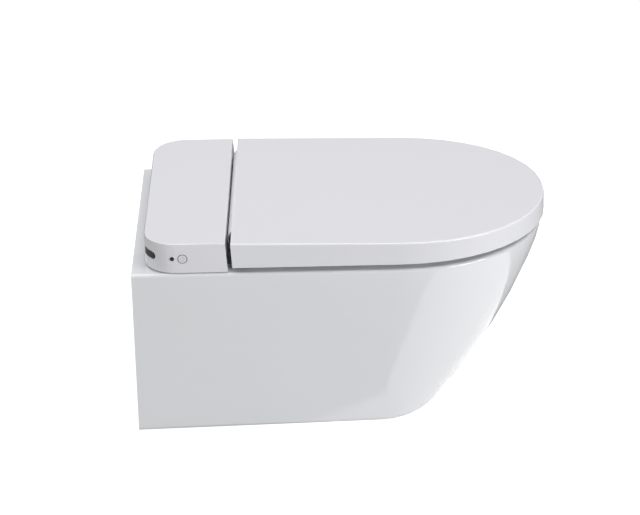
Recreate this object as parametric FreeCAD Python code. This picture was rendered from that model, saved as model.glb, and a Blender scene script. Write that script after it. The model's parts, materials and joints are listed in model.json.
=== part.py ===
import FreeCAD, Part
import math
import os
from FreeCAD import Vector

# Wall-hung smart toilet with a heated seat, in millimetres.
# X runs across the toilet, Y points at the wall (the wall is y = 0, the nose is at -Y), Z is up.
# Everything is laid out with z = 0 on the ceramic rim, and lifted by rim_height when it is written,
# so that the finished part has its origin between the two wall bolts, on the wall.

# overall sizes
overall_length = 575.0
overall_width = 371.6
ceramic_height = 241.0
rim_height = 80.0            # ceramic rim above the wall bolts

# ceramic pan
rim_overhang = 5.0           # lid nose beyond the ceramic nose
rim_inset = 0.6              # ceramic side inside the lid side
nose_length = 202.0          # curved part of the plan, from the straight side to the tip
nose_fullness = 0.565        # 0.552 is a true ellipse
ceramic_wall = 9.0
deck_thickness = 12.0
rim_round = 5.0
foot_round = 6.0
rear_side_draft = 1.0        # the foot is this much narrower at the wall
front_side_draft = 17.5      # and this much narrower where the nose starts
nose_start_draft = 28.0
nose_bulge_depth = 30.0      # first control row of the nose profile, below the rim
nose_bulge_back = 3.0        # and its set-back from the rim tip
nose_slope_height = 93.0     # second control row, above the foot
nose_slope_back = 50.0
nose_foot_back = 133.0       # foot tip behind the rim tip
nose_foot_slope = 0.85       # set-back for each millimetre of height at the foot

# ruled strips used for a rounded edge, the side of the ceramic, its hidden faces, and half the bowl
round_strips = 2
side_strips = 6
hidden_strips = 3
bowl_strips = 3
nose_chords = 10             # chords for each curved quarter of a nose, of an oval, and of a hidden form
hole_chords = 6
hidden_chords = 4
pipe_sides = 12
round_sides = 20
corner_chords = 6
hidden_sides = 8

# bowl and trapway
side_rim_width = 53.0
front_rim_width = 48.0
bowl_rear = 192.0
bowl_wall = 9.0
sump_radius = 31.0
sump_distance = 332.0        # sump from the wall
sump_depth = 222.0
trap_bore = 27.5
trap_wall = 8.0
trap_bend = 45.0
weir_depth = 107.5
trap_low_depth = 200.0
outlet_radius = 51.0
outlet_bore = 43.0
outlet_depth = 180.0
outlet_length = 45.0
outlet_cone = 24.0

# flush inlet and its channel
inlet_bore = 27.5
inlet_wall = 9.5
inlet_length = 44.0
inlet_above_outlet = 135.0
channel_bore = 14.0
channel_wall = 7.0
channel_bend = 28.0
channel_row = 65.0           # channel run across the back, from the wall
channel_side = 112.0         # channel run beside the bay, from the middle
channel_end = 300.0

# wall fixings
bolt_spacing = 180.0
bolt_clearance_radius = 6.5
barrel_radius = 14.7
barrel_length = 52.0
barrel_flange_radius = 21.0
barrel_flange = 4.0
web_front = 30.0
web_back = 8.0
fit_gap = 0.3                # between bodies that move, and round loose inserts
clamp_screw_radius = 3.0

# openings in the ceramic deck
service_half_width = 70.0
service_rear = 24.0
service_front = 72.0
nozzle_bay_half_width = 55.0
nozzle_bay_rear = 88.0
nozzle_bay_depth = 42.0
nozzle_bay_wall = 8.0
seat_bolt_spacing = 155.0
seat_bolt_distance = 100.0
seat_bolt_hole = 7.0

# housing of the seat unit
housing_height = 45.0
housing_inset = 2.2          # housing side inside the lid side
housing_rear = 17.7
housing_front_top = 131.0
housing_front_foot = 133.8
housing_corner = 45.0
housing_foot_gap = 1.5
cover_wall = 2.8
cover_round = 1.6
tray_level = 3.3
tray_floor = 2.5
tray_wall = 2.0
tray_wall_top = 12.0
unlatch_travel = 15.0        # the unit slides this far forward off its hooks

# mounting plate
plate_thickness = 3.0
plate_half_width = 120.0
plate_rear = 36.5
plate_front = 120.0
hook_side = 100.0
hook_rows = (52.0, 108.0)
hook_length = 14.0
hook_post = 3.0
hook_flange = 8.5
hook_flange_thickness = 2.0

# hinge line of seat and lid
hinge_distance = 148.0
hinge_drop = 12.0            # hinge axis below the top of the housing
hinge_pin_radius = 3.0
hinge_running_gap = 0.08
bracket_outer = 14.8         # bracket outer face, in from the lid side
bracket_width = 26.0
bracket_top = 20.0
bracket_foot = 8.0
bracket_root = 84.0
knuckle_radius = 5.0
seat_knuckle_width = 52.0
seat_knuckle_radius = 6.75
damper_radius = 5.4
damper_length = 30.0

# seat
seat_side_inset = 8.8
seat_nose_inset = 9.0
seat_back = 160.0
seat_underside = 8.0
seat_base_thickness = 3.0
seat_top_level = 27.0
seat_wall = 3.0
seat_round = 6.0
seat_hole_half_width = 108.0
seat_hole_rear = 228.0
seat_hole_front_rim = 54.0
foil_thickness = 0.6
foil_inset = 9.0
buffer_radius = 9.0

# lid
lid_rear_top = 138.2
lid_rear_foot = 140.0
lid_top_drop = 0.5           # lid top below the housing top
lid_slope_drop = 8.0         # lid top falls this much to the nose
lid_foot = 8.0
lid_wall = 4.0
lid_top_thickness = 3.0
lid_round = 2.5
lid_rear_wall_foot = 25.0
lid_panel_thickness = 2.4
lid_panel_rear = 163.0
lid_lug_radius = 6.5

# spray nozzle
nozzle_tilt = 15.0
nozzle_exit_distance = 180.0
nozzle_exit_depth = 15.0
nozzle_travel = 85.0
arm_width = 13.0
arm_height = 12.0
tip_length = 14.0
shield_thickness = 2.5
shield_overlap = 4.5
guide_wall = 2.6
guide_length = 116.0
rack_module = 1.0
pinion_teeth = 12
pinion_width = 6.0
pinion_place = 66.0          # pinion behind the nozzle exit, along the arm
backlash = 0.25
motor_radius = 8.0
motor_length = 20.0
motor_shaft_radius = 1.5

hose_radius = 3.0

# supply fittings, hanging through the tray and the service opening
inlet_place = (50.0, -44.0)
gland_place = (-50.0, -36.0)
inlet_radius = 8.3
inlet_stem = 22.0
gland_radius = 8.2
gland_bore = 3.8
gland_stem = 18.0
fitting_collar = 11.5

# controls on the near side, and the release on the far side
button_distance = 71.8
button_level = 22.5
button_hole_radius = 6.9
bezel_width = 0.9
button_radius = 5.6
led_distance = 57.5
led_radius = 2.9
window_angle = 60.0          # on the rear corner, from the side
window_sweep = 40.0
window_height = 10.5
window_level = 23.0
release_distance = 62.0
release_level = 17.0
release_length = 20.0
release_height = 9.0

# worked out from the sizes above
lid_half = overall_width / 2
rim_half = lid_half - rim_inset
rim_tip = overall_length - rim_overhang
rim_straight = rim_tip - nose_length
lid_straight = rim_straight + 3.0
housing_half = lid_half - housing_inset
inlet_depth = outlet_depth - inlet_above_outlet
hinge_level = housing_height - hinge_drop
lid_top_rear = housing_height - lid_top_drop
bracket_side = lid_half - bracket_outer
knuckle_inner = bracket_side - bracket_width
seat_half = lid_half - seat_side_inset
seat_tip = overall_length - seat_nose_inset
seat_straight = seat_tip - nose_length + 2.0
seat_hole_front = seat_tip - seat_hole_front_rim
bowl_front = rim_tip - front_rim_width
bowl_half = rim_half - side_rim_width
ceiling = housing_height - cover_wall
tray_top = tray_level + tray_floor
pitch_radius = rack_module * pinion_teeth / 2
arm_length = pinion_place + nozzle_travel + rack_module * 8.5
motor_face = arm_width / 2 + fit_gap + guide_wall + 0.5
spigot_place = (93.0, 1.5)   # where the water enters the guide, along and above the arm axis


def box(x0, x1, y0, y1, z0, z1):
    corner = Vector(min(x0, x1), min(y0, y1), min(z0, z1))
    return Part.makeBox(abs(x1 - x0), abs(y1 - y0), abs(z1 - z0), corner)


def rod(start, end, radius):
    direction = end - start
    return Part.makeCylinder(radius, direction.Length, start, direction)


def ring(centre, axis, radius, sides):
    """The chords of a regular polygon round an axis, with a flat facing along X or up."""
    side = Vector(1, 0, 0) if abs(axis.x) < axis.Length * 0.9 else Vector(0, 1, 0)
    across = axis.cross(side).normalize()
    along = across.cross(axis).normalize()
    corners = []
    for number in range(sides):
        angle = 2 * math.pi * (number + 0.5) / sides
        corners.append(centre + along * (radius * math.cos(angle)) + across * (radius * math.sin(angle)))
    return [line(one, two) for one, two in zip(corners, corners[1:] + corners[:1])]


def post(start, end, radius, sides=hidden_sides):
    """A many-sided post, for small hidden pieces."""
    return plan_face(ring(start, end - start, radius, sides)).extrude(end - start)


def taper(start, end, radius_start, radius_end, sides=hidden_sides):
    """A many-sided post that tapers."""
    axis = end - start
    return skin(([ring(start, axis, radius_start, sides), ring(end, axis, radius_end, sides)], 1))


def mirrored(shape):
    return shape.mirror(Vector(0, 0, 0), Vector(1, 0, 0))


def both_sides(shape):
    return [shape, mirrored(shape)]


def round_edges(shape, radius, wanted):
    edges = [edge for edge in shape.Edges if wanted(edge)]
    return shape.makeFillet(radius, edges)


def flat_at(level):
    return lambda edge: all(abs(vertex.Z - level) < 0.01 for vertex in edge.Vertexes) \
        and abs(edge.BoundBox.ZLength) < 0.01


def upright(edge):
    return edge.BoundBox.XLength < 0.01 and edge.BoundBox.YLength < 0.01


def side_profile(points, x0, x1):
    """A plate seen from the side, (y, z) corners, between two x values."""
    corners = [Vector(x0, y, z) for y, z in points]
    outline = Part.makePolygon(corners + corners[:1])
    return Part.Face(outline).extrude(Vector(x1 - x0, 0, 0))


def bent_path(points, bend, steps):
    """Straight runs joined by arcs, each arc as a few short chords."""
    path = [points[0]]
    for before, corner, after in zip(points, points[1:], points[2:]):
        inward = (before - corner).normalize()
        outward = (after - corner).normalize()
        half_turn = (math.pi - inward.getAngle(outward)) / 2
        centre = corner + (inward + outward).normalize() * (bend / math.cos(half_turn))
        first = corner + inward * (bend * math.tan(half_turn)) - centre
        last = corner + outward * (bend * math.tan(half_turn)) - centre
        turn = first.getAngle(last)
        for step in range(steps + 1):
            share = step / steps
            weights = (math.sin((1 - share) * turn), math.sin(share * turn))
            path.append(centre + first * (weights[0] / math.sin(turn)) + last * (weights[1] / math.sin(turn)))
    path.append(points[-1])
    return path


def tube(points, bend, radius, steps, sides):
    path = Part.makePolygon(bent_path(points, bend, steps))
    mitred = 1
    profile = plan_face(ring(points[0], points[1] - points[0], radius, sides)).OuterWire
    return path.makePipeShell([profile], True, False, mitred)


def line(start, end):
    return [start, end]


def flat_face(corners):
    return Part.Face(Part.makePolygon(corners + corners[:1]))


def plan_face(plan):
    return flat_face([chord[0] for chord in plan])


def strip_faces(low, high):
    """One flat face between two chords, or two where the four corners are not in one plane."""
    a, b = low
    d, c = high
    normal = (b - a).cross(d - a).normalize()
    if abs((c - a).dot(normal)) < 1e-6:
        return [flat_face([a, b, c, d])]
    if a.distanceToPoint(c) < b.distanceToPoint(d):
        return [flat_face([a, b, c]), flat_face([a, c, d])]
    return [flat_face([a, b, d]), flat_face([b, c, d])]


def blend(rows, share):
    """The plan a share of the way through a Bezier blend of plans."""
    order = len(rows) - 1
    weights = [math.comb(order, i) * (1 - share) ** (order - i) * share ** i for i in range(order + 1)]
    plan = []
    for edges in zip(*rows):
        poles = []
        for matching in zip(*edges):
            pole = Vector(0, 0, 0)
            for weight, point in zip(weights, matching):
                pole += point * weight
            poles.append(pole)
        plan.append(poles)
    return plan


def facetted(plan, chords):
    """The same plan with every curved edge as a few straight chords."""
    result = []
    for poles in plan:
        if len(poles) == 2:
            result.append(poles)
            continue
        points = [poles[0]]
        for chord in range(1, chords + 1):
            share = chord / chords
            weights = [math.comb(3, i) * (1 - share) ** (3 - i) * share ** i for i in range(4)]
            point = Vector(0, 0, 0)
            for weight, pole in zip(weights, poles):
                point += pole * weight
            points.append(point)
        result += [line(one, two) for one, two in zip(points, points[1:])]
    return result


def skin(*bands):
    """A closed solid through bands of plans; each band is (plans to blend, number of ruled strips)."""
    plans = [bands[0][0][0]]
    for rows, strips in bands:
        plans += [blend(rows, (strip + 1) / strips) for strip in range(strips)]
    faces = [plan_face(plans[0]), plan_face(plans[-1])]
    for one, two in zip(plans, plans[1:]):
        for low, high in zip(one, two):
            faces += strip_faces(low, high)
    shell = Part.makeShell(faces)
    shell.sewShape()
    solid = Part.makeSolid(shell)
    if solid.Volume < 0:
        solid.reverse()
    return solid.removeSplitter()


def box_between(low, high):
    return box(-500, 500, -900, 100, low, high)


def nose_plan(half_rear, half_front, straight, tip, back, level, chords):
    """The D-shaped plan: straight sides and a nose of two Bezier quarters.

    level gives the height at a distance from the wall.
    """
    at = level if callable(level) else lambda distance: level
    shoulder = Vector(half_front, -straight, 0)
    lean = Vector(half_front - half_rear, -(straight - back), 0).normalize()
    handle = shoulder + lean * (nose_fullness * (tip - straight))
    quarter = [shoulder, handle, Vector(nose_fullness * half_front, -tip, 0), Vector(0, -tip, 0)]
    rear = Vector(half_rear, -back, 0)
    for pole in quarter + [rear]:
        pole.z = at(-pole.y)
    flip = [Vector(-pole.x, pole.y, pole.z) for pole in reversed(quarter)]
    other_rear = Vector(-rear.x, rear.y, rear.z)
    plan = [line(other_rear, rear), line(rear, shoulder), quarter, flip, line(flip[-1], other_rear)]
    return facetted(plan, chords)


def ceramic_plan(depth, tip, inset, back=0, chords=nose_chords):
    share = depth / ceramic_height
    half_rear = rim_half - rear_side_draft * share - inset
    half_front = rim_half - front_side_draft * share - inset
    straight = rim_straight - nose_start_draft * share
    return nose_plan(half_rear, half_front, straight, tip - inset, back, -depth, chords)


def ceramic_body():
    """Outer form: a rounded rim, one smooth band down to the foot, and a rounded foot."""
    foot_tip = rim_tip - nose_foot_back
    foot_edge = foot_tip - foot_round * nose_foot_slope
    start = ceramic_plan(rim_round, rim_tip, 0)
    end = ceramic_plan(ceramic_height - foot_round, foot_tip, 0)
    rim = [ceramic_plan(0, rim_tip, rim_round), ceramic_plan(0, rim_tip, 0), start]
    side = [
        start,
        ceramic_plan(nose_bulge_depth, rim_tip - nose_bulge_back, 0),
        ceramic_plan(ceramic_height - nose_slope_height, rim_tip - nose_slope_back, 0),
        end,
    ]
    foot = [end, ceramic_plan(ceramic_height, foot_edge, 0), ceramic_plan(ceramic_height, foot_edge, foot_round)]
    return skin((rim, round_strips), (side, side_strips), (foot, round_strips))


def ceramic_inside(inset, top, bottom, back):
    """The same form drawn in by an inset, between two depths."""
    foot_edge = rim_tip - nose_foot_back - foot_round * nose_foot_slope
    profile = ((0, rim_tip), (nose_bulge_depth, rim_tip - nose_bulge_back),
               (ceramic_height - nose_slope_height, rim_tip - nose_slope_back), (ceramic_height, foot_edge))
    rows = [ceramic_plan(depth, tip, inset, back, hidden_chords) for depth, tip in profile]
    return skin((rows, hidden_strips)).common(box_between(-bottom, -top))


def oval_plan(half, far, near, level, chords):
    """An ellipse in plan as four Bezier quarters, between two distances from the wall."""
    middle = -(far + near) / 2
    reach = (far - near) / 2
    k = 0.5523
    quarter = [Vector(half, 0, 0), Vector(half, -reach * k, 0), Vector(half * k, -reach, 0),
               Vector(0, -reach, 0)]
    poles = []
    for turn_x, turn_y, order in ((1, 1, 1), (-1, 1, -1), (-1, -1, 1), (1, -1, -1)):
        part = [Vector(p.x * turn_x, p.y * turn_y + middle, level) for p in quarter[::order]]
        poles.append(part)
    return facetted(poles, chords)


# control rings of the bowl, from mouth to sump: depth share, then how far side, front and rear have closed in
bowl_rings = (
    (0.00, 0.00, 0.00, 0.00),
    (0.22, 0.00, 0.00, 0.05),
    (0.45, 0.30, 0.25, 0.40),
    (0.58, 0.525, 0.475, 0.575),
    (0.71, 0.75, 0.70, 0.75),
    (0.90, 0.92, 0.92, 0.92),
    (1.00, 1.00, 1.00, 1.00),
)


def bowl_body(grow, strips, chords):
    plans = []
    for share, side, front, rear in bowl_rings:
        half = bowl_half + (sump_radius - bowl_half) * side + grow
        far = bowl_front + (sump_distance + sump_radius - bowl_front) * front + grow
        near = bowl_rear + (sump_distance - sump_radius - bowl_rear) * rear - grow
        plans.append(oval_plan(half, far, near, -(sump_depth + grow) * share, chords))
    return skin((plans[:4], strips), (plans[3:], strips))


def trap_route():
    corners = (
        (sump_distance + 8, trap_low_depth),
        (sump_distance - 52, trap_low_depth),
        (sump_distance - 110, weir_depth),
        (sump_distance - 182, weir_depth),
        (sump_distance - 237, outlet_depth),
        (outlet_length, outlet_depth),
    )
    return [Vector(0, -distance, -depth) for distance, depth in corners]


def flush_channel(radius, sides):
    """From the inlet socket, across the back and forward beside the bay, into the bowl's side."""
    z = -inlet_depth
    across = [
        Vector(6, -channel_row, z),
        Vector(-channel_side, -channel_row, z),
        Vector(-channel_side, -channel_end, z),
    ]
    return tube(across, channel_bend, radius, 2, sides)


def outlet_neck(radius, inner_end):
    shoulder = Vector(0, -outlet_length, -outlet_depth)
    end = Vector(0, -outlet_length - outlet_cone, -outlet_depth)
    return taper(shoulder, end, radius, inner_end, pipe_sides)


def ceramic_hollow():
    """The room inside the ceramic, open towards the wall."""
    return ceramic_inside(ceramic_wall, deck_thickness, ceramic_height - ceramic_wall, -20)


def nozzle_bay(half, rear, front, low, high, corner):
    bay = box(-half, half, -rear, -front, -low, high)
    return round_edges(bay, corner, upright)


def fixing_webs():
    web = box(bolt_spacing / 2 - 26, rim_half - ceramic_wall / 2, -web_back, -web_front,
              -rim_height - 38, -deck_thickness / 2)
    bolt = Vector(bolt_spacing / 2, 0, -rim_height)
    web = web.cut(post(bolt, bolt - Vector(0, web_front + 5, 0), barrel_radius + fit_gap, round_sides))
    return both_sides(web)


def bowl_outside():
    bay = nozzle_bay(nozzle_bay_half_width + nozzle_bay_wall, nozzle_bay_rear - nozzle_bay_wall,
                     bowl_rear + 20, nozzle_bay_depth + nozzle_bay_wall, -1, 16)
    return bowl_body(bowl_wall, hidden_strips // 2 + 1, hidden_chords).fuse(bay)


def trap_outside():
    pipe = tube(trap_route(), trap_bend, trap_bore + trap_wall, 2, hidden_sides)
    spigot = rod(Vector(0, 0, -outlet_depth), Vector(0, -outlet_length, -outlet_depth), outlet_radius)
    return pipe.fuse(spigot).fuse(outlet_neck(outlet_radius, trap_bore + trap_wall))


def inlet_outside():
    mouth = Vector(0, 0, -inlet_depth)
    end = Vector(0, -inlet_length, -inlet_depth)
    close = Vector(0, -channel_row - channel_bore - channel_wall, -inlet_depth)
    socket = post(mouth, end, inlet_bore + inlet_wall, round_sides)
    neck = taper(end, close, inlet_bore + inlet_wall, channel_bore + channel_wall, pipe_sides)
    return socket.fuse(neck).fuse(flush_channel(channel_bore + channel_wall, hidden_sides))


def water_ways():
    """What is open in the ceramic: bowl, trap, outlet, inlet, channel and nozzle bay."""
    mouth = Vector(0, 0, -inlet_depth)
    end = Vector(0, -inlet_length, -inlet_depth)
    return [
        bowl_body(0, bowl_strips, hole_chords),
        tube(trap_route(), trap_bend, trap_bore, 2, pipe_sides),
        post(Vector(0, 1, -outlet_depth), Vector(0, -outlet_length, -outlet_depth), outlet_bore, round_sides),
        outlet_neck(outlet_bore, trap_bore),
        rod(mouth + Vector(0, 1, 0), end, inlet_bore),
        taper(end, Vector(0, -channel_row, -inlet_depth), inlet_bore, channel_bore, pipe_sides),
        flush_channel(channel_bore, hidden_sides),
        nozzle_bay(nozzle_bay_half_width, nozzle_bay_rear, bowl_rear + 34, nozzle_bay_depth, 5, 10),
    ]


def hung_in_pan(outside, *others):
    """One hidden form of the casting, inside the skirt and clear of the forms it grows from."""
    piece = outside.common(ceramic_hollow()).common(box_between(-ceramic_height, 0).common(behind_wall()))
    for other in others:
        piece = piece.cut(other)
    for way in water_ways():
        piece = piece.cut(way)
    return piece.removeSplitter()


def behind_wall():
    return box(-500, 500, 0, -900, -500, 500)


def ceramic_pan():
    """Skirt, floor, deck and rim, with the webs that take the wall fixings."""
    pan = ceramic_body().cut(ceramic_hollow())
    inside = ceramic_inside(2, 2, ceramic_height - 2, 0)
    for web in fixing_webs():
        pan = pan.fuse(web.common(inside))
    removed = water_ways()[:1] + water_ways()[-1:]
    removed.append(round_edges(box(-service_half_width, service_half_width, -service_rear, -service_front,
                                   -deck_thickness, 5), 8, upright))
    removed.append(box(-outlet_radius - 20, outlet_radius + 20, 5, -outlet_length - 15,
                       -ceramic_height - 1, -ceramic_height + ceramic_wall))
    for side in (-1, 1):
        seat_bolt = Vector(side * seat_bolt_spacing / 2, -seat_bolt_distance, 5)
        removed.append(post(seat_bolt, seat_bolt - Vector(0, 0, deck_thickness + 10), seat_bolt_hole))
    for piece in removed:
        pan = pan.cut(piece)
    return pan.removeSplitter()


def pan_bowl():
    return hung_in_pan(bowl_outside(), *fixing_webs())


def trapway():
    return hung_in_pan(trap_outside(), bowl_outside(), *fixing_webs())


def flush_inlet():
    return hung_in_pan(inlet_outside(), bowl_outside(), trap_outside(), *fixing_webs())


def wall_fixing_barrels():
    place = Vector(bolt_spacing / 2, 0, -rim_height)
    flange_back = Vector(place.x, -web_front, place.z)
    barrel = post(place, place - Vector(0, barrel_length, 0), barrel_radius, round_sides)
    flange = post(flange_back, flange_back - Vector(0, barrel_flange, 0), barrel_flange_radius, 6)
    bore = rod(place + Vector(0, 1, 0), place - Vector(0, barrel_length + 1, 0),
               bolt_clearance_radius)
    screw_hole = post(place - Vector(0, 44, 0), place + Vector(0, -44, barrel_radius + 2),
                      clamp_screw_radius)
    return Part.makeCompound(both_sides(barrel.fuse(flange).cut(bore).cut(screw_hole)))


def clamp_screws():
    foot = Vector(bolt_spacing / 2, -44, -rim_height + bolt_clearance_radius + 0.4)
    screw = post(foot, foot + Vector(0, 0, 11), clamp_screw_radius)
    slot = box(foot.x - 4, foot.x + 4, -44.5, -43.5, foot.z + 9.5, foot.z + 12)
    return Part.makeCompound(both_sides(screw.cut(slot)))


def mounting_plate():
    plate = box(-plate_half_width, plate_half_width, -plate_rear, -plate_front, 0, plate_thickness)
    bay = box(-nozzle_bay_half_width - 2, nozzle_bay_half_width + 2, -nozzle_bay_rear + 2,
              -plate_front - 5, -1, 5)
    guide_half = arm_width / 2 + fit_gap + guide_wall + 2
    plate = plate.cut(bay)
    plate = plate.cut(box(-guide_half, guide_half, -service_front - 3, -nozzle_bay_rear, -1, 5))
    for side in (-1, 1):
        plate = plate.cut(box(side * 36, side * 66, -plate_rear + 5, -service_front - 2, -1, 5))
    post_top = tray_top + fit_gap
    for side in (-1, 1):
        hole = Vector(side * seat_bolt_spacing / 2, -seat_bolt_distance, -1)
        plate = plate.cut(post(hole, hole + Vector(0, 0, 6), 4.5))
        for row in hook_rows:
            near, far = -row + hook_length / 2, -row - hook_length / 2
            stem = box(side * hook_side, side * (hook_side + hook_post), near, far,
                       plate_thickness - 1, post_top + hook_flange_thickness)
            flange = box(side * hook_side, side * (hook_side + hook_flange), near, far,
                         post_top, post_top + hook_flange_thickness)
            plate = plate.fuse(stem).fuse(flange)
    return plate.removeSplitter()


def plate_bolts():
    foot = Vector(seat_bolt_spacing / 2, -seat_bolt_distance, -deck_thickness - 20)
    neck = Vector(foot.x, foot.y, plate_thickness)
    socket = post(neck + Vector(0, 0, 2), neck + Vector(0, 0, 5), 2.5, 6)
    bolt = post(foot, neck, 4.0).fuse(post(neck, neck + Vector(0, 0, 4), 6.5)).cut(socket)
    return Part.makeCompound(both_sides(bolt))


def plate_bushes():
    top = Vector(seat_bolt_spacing / 2, -seat_bolt_distance, 0)
    under = top - Vector(0, 0, deck_thickness)
    bush = post(under, top, seat_bolt_hole - 0.2).fuse(post(under - Vector(0, 0, 10), under, 10.5, 6))
    bush = bush.cut(post(under - Vector(0, 0, 12), top, 4.1))
    return Part.makeCompound(both_sides(bush))


def housing_plan(inset, front, z):
    """Housing outline in plan: straight front and sides, and two round rear corners."""
    half = housing_half - inset
    rear = housing_rear + inset
    radius = housing_corner - inset
    corners = [Vector(half, -front, z)]
    for chord in range(corner_chords + 1):
        angle = math.pi / 2 * chord / corner_chords
        corners.append(Vector(half - radius * (1 - math.cos(angle)), -rear - radius * (1 - math.sin(angle)), z))
    corners += [Vector(-corner.x, corner.y, z) for corner in reversed(corners)]
    return Part.makePolygon(corners + corners[:1])


def housing_block(inset, low, high):
    """The housing form between two levels, with its front leaning back."""
    outline = Part.Face(housing_plan(inset, housing_front_foot + 10, low))
    block = outline.extrude(Vector(0, 0, high - low))
    lean = (housing_front_foot - housing_front_top) / housing_height
    foot = housing_front_foot - inset
    front = [(-foot + lean * low, low - 1), (-foot + lean * (high + 2), high + 2),
             (-foot - 60, high + 2), (-foot - 60, low - 1)]
    return block.cut(side_profile(front, -housing_half - 5, housing_half + 5))


def window_prism(grow):
    """Pill-shaped prism through the near rear corner."""
    angle = math.radians(window_angle)
    centre = Vector(-housing_half + housing_corner, -housing_rear - housing_corner, 0)
    outward = Vector(-math.cos(angle), math.sin(angle), 0)
    across = Vector(math.sin(angle), math.cos(angle), 0)
    radius = window_height / 2 + grow
    half_chord = housing_corner * math.sin(math.radians(window_sweep / 2)) - window_height / 2
    start = centre + outward * (housing_corner - 12) + Vector(0, 0, window_level)
    depth = outward * 20
    pill = None
    for end in (-1, 1):
        middle = start + across * (half_chord * end)
        disc = post(middle, middle + depth, radius, 16)
        pill = disc if pill is None else pill.fuse(disc)
    low = Vector(0, 0, -radius)
    corners = [start - across * half_chord + low, start + across * half_chord + low,
               start + across * half_chord - low, start - across * half_chord - low]
    bar = Part.Face(Part.makePolygon(corners + corners[:1])).extrude(depth)
    return pill.fuse(bar)


def release_prism(grow, x0, x1):
    """Pill-shaped prism through the far side."""
    radius = release_height / 2 + grow
    reach = (release_length - release_height) / 2
    y, z = -release_distance, release_level
    pill = box(x0, x1, y - reach, y + reach, z - radius, z + radius)
    for end in (-reach, reach):
        pill = pill.fuse(post(Vector(x0, y + end, z), Vector(x1, y + end, z), radius, 16))
    return pill.removeSplitter()


def cover_shell():
    outer = housing_block(0, housing_foot_gap, housing_height)
    top = [edge for edge in outer.Edges if flat_at(housing_height)(edge)]
    outer = outer.makeChamfer(cover_round, top)
    return outer.cut(housing_block(cover_wall, housing_foot_gap - 5, ceiling))


screw_places = ((135.0, 36.0), (132.0, 119.0))


def top_cover():
    cover = cover_shell()
    outside = -housing_half - 3
    inside = -housing_half + cover_wall + 3
    for distance, level, radius in ((button_distance, button_level, button_hole_radius),
                                    (led_distance, button_level, led_radius + 0.1)):
        start, end = Vector(outside, -distance, level), Vector(inside, -distance, level)
        cover = cover.cut(post(start, end, radius, round_sides))
    cover = cover.cut(window_prism(0.1))
    cover = cover.cut(release_prism(0, housing_half - 8, housing_half + 3))
    for side in (-1, 1):
        slot = box(side * (knuckle_inner - 0.5), side * (bracket_side + 0.5), -120, -140,
                   0, bracket_top + 0.5)
        cover = cover.cut(slot)
        for x, distance in screw_places:
            base = Vector(side * x, -distance, tray_top + 0.3)
            boss = post(base, Vector(base.x, base.y, ceiling + 0.5), 4.5, 8)
            cover = cover.fuse(boss).cut(post(base, base + Vector(0, 0, 14), 1.6, 8))
    guide_half = arm_width / 2 + fit_gap + guide_wall + 1
    return cover.cut(box(-guide_half, guide_half, -120, -140, 0, 10.5)).removeSplitter()


def base_tray():
    outline = cover_wall + fit_gap
    tray = housing_block(outline, tray_level, tray_wall_top)
    tray = tray.cut(housing_block(outline + tray_wall, tray_top, tray_wall_top + 5))
    guide_half = arm_width / 2 + fit_gap + guide_wall + 1
    motor_reach = motor_face + motor_length + 1
    tray = tray.cut(box(-guide_half, guide_half, -60, -140, 0, 20))
    tray = tray.cut(box(0, motor_reach, -106, -129, 0, 20).cut(box(0, 99, -127.9, -140, 0, 20)))
    for side in (-1, 1):
        tray = tray.cut(box(side * (knuckle_inner - 0.5), side * (bracket_side + 0.5), -122, -140,
                            bracket_foot - 0.5, 20))
        bolt = side * seat_bolt_spacing / 2
        near = -seat_bolt_distance + 7.5 + unlatch_travel
        tray = tray.cut(box(bolt - 7.5, bolt + 7.5, near, -seat_bolt_distance - 7.5, 0, 20))
        for row in hook_rows:
            near, far = -row + hook_length / 2 + fit_gap, -row - hook_length / 2 - fit_gap
            tray = tray.cut(box(side * (hook_side - fit_gap), side * (hook_side + hook_post + fit_gap),
                                near, far, 0, 20))
            tray = tray.cut(box(side * (hook_side - fit_gap), side * (hook_side + hook_flange + fit_gap),
                                near, near + unlatch_travel, 0, 20))
        for x, distance in screw_places:
            tray = tray.cut(post(Vector(side * x, -distance, 0), Vector(side * x, -distance, 20), 1.9, 8))
    for x, y in (inlet_place, gland_place):
        tray = tray.cut(post(Vector(x, y, 0), Vector(x, y, 20), inlet_radius + 0.5, 12))
    return tray.removeSplitter()


def tray_pads():
    pads = []
    for distance in (62, 108):
        pad = taper(Vector(155, -distance, fit_gap), Vector(155, -distance, tray_level), 7, 8)
        pads += both_sides(pad)
    return Part.makeCompound(pads)


def cover_screws():
    screws = []
    for x, distance in screw_places:
        head = Vector(x, -distance, tray_level - 2)
        shank = post(head, head + Vector(0, 0, 16), 1.4, 6)
        screw = shank.fuse(post(head, head + Vector(0, 0, 2), 3.2, 8))
        screws += both_sides(screw)
    return Part.makeCompound(screws)


def hinge_bracket():
    """Bracket that carries the hinge pin out through the housing front and up under the lid."""
    y, z = -hinge_distance, hinge_level
    r = knuckle_radius
    profile = [
        (-bracket_root, tray_top), (-120, tray_top), (-124, bracket_foot), (y + 1, bracket_foot),
        (y - r, bracket_foot + 6), (y - r, z), (y + r, z), (y + r, bracket_top + 2),
        (y + r + 2, bracket_top), (-110, bracket_top), (-bracket_root, tray_top + 5),
    ]
    bracket = side_profile(profile, knuckle_inner, bracket_side)
    knuckle = post(Vector(knuckle_inner, y, z), Vector(bracket_side, y, z), r, 16)
    bore = rod(Vector(knuckle_inner - 1, y, z), Vector(bracket_side + 1, y, z),
               hinge_pin_radius + 0.02)
    bracket = bracket.fuse(knuckle).cut(bore)
    for distance in (90, 104):
        place = Vector((knuckle_inner + bracket_side) / 2, -distance, 0)
        bracket = bracket.cut(post(place, place + Vector(0, 0, 30), 2.2, 6))
        bracket = bracket.cut(post(place + Vector(0, 0, tray_top + 4), place + Vector(0, 0, 30), 4.2, 8))
    return bracket.removeSplitter()


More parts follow.
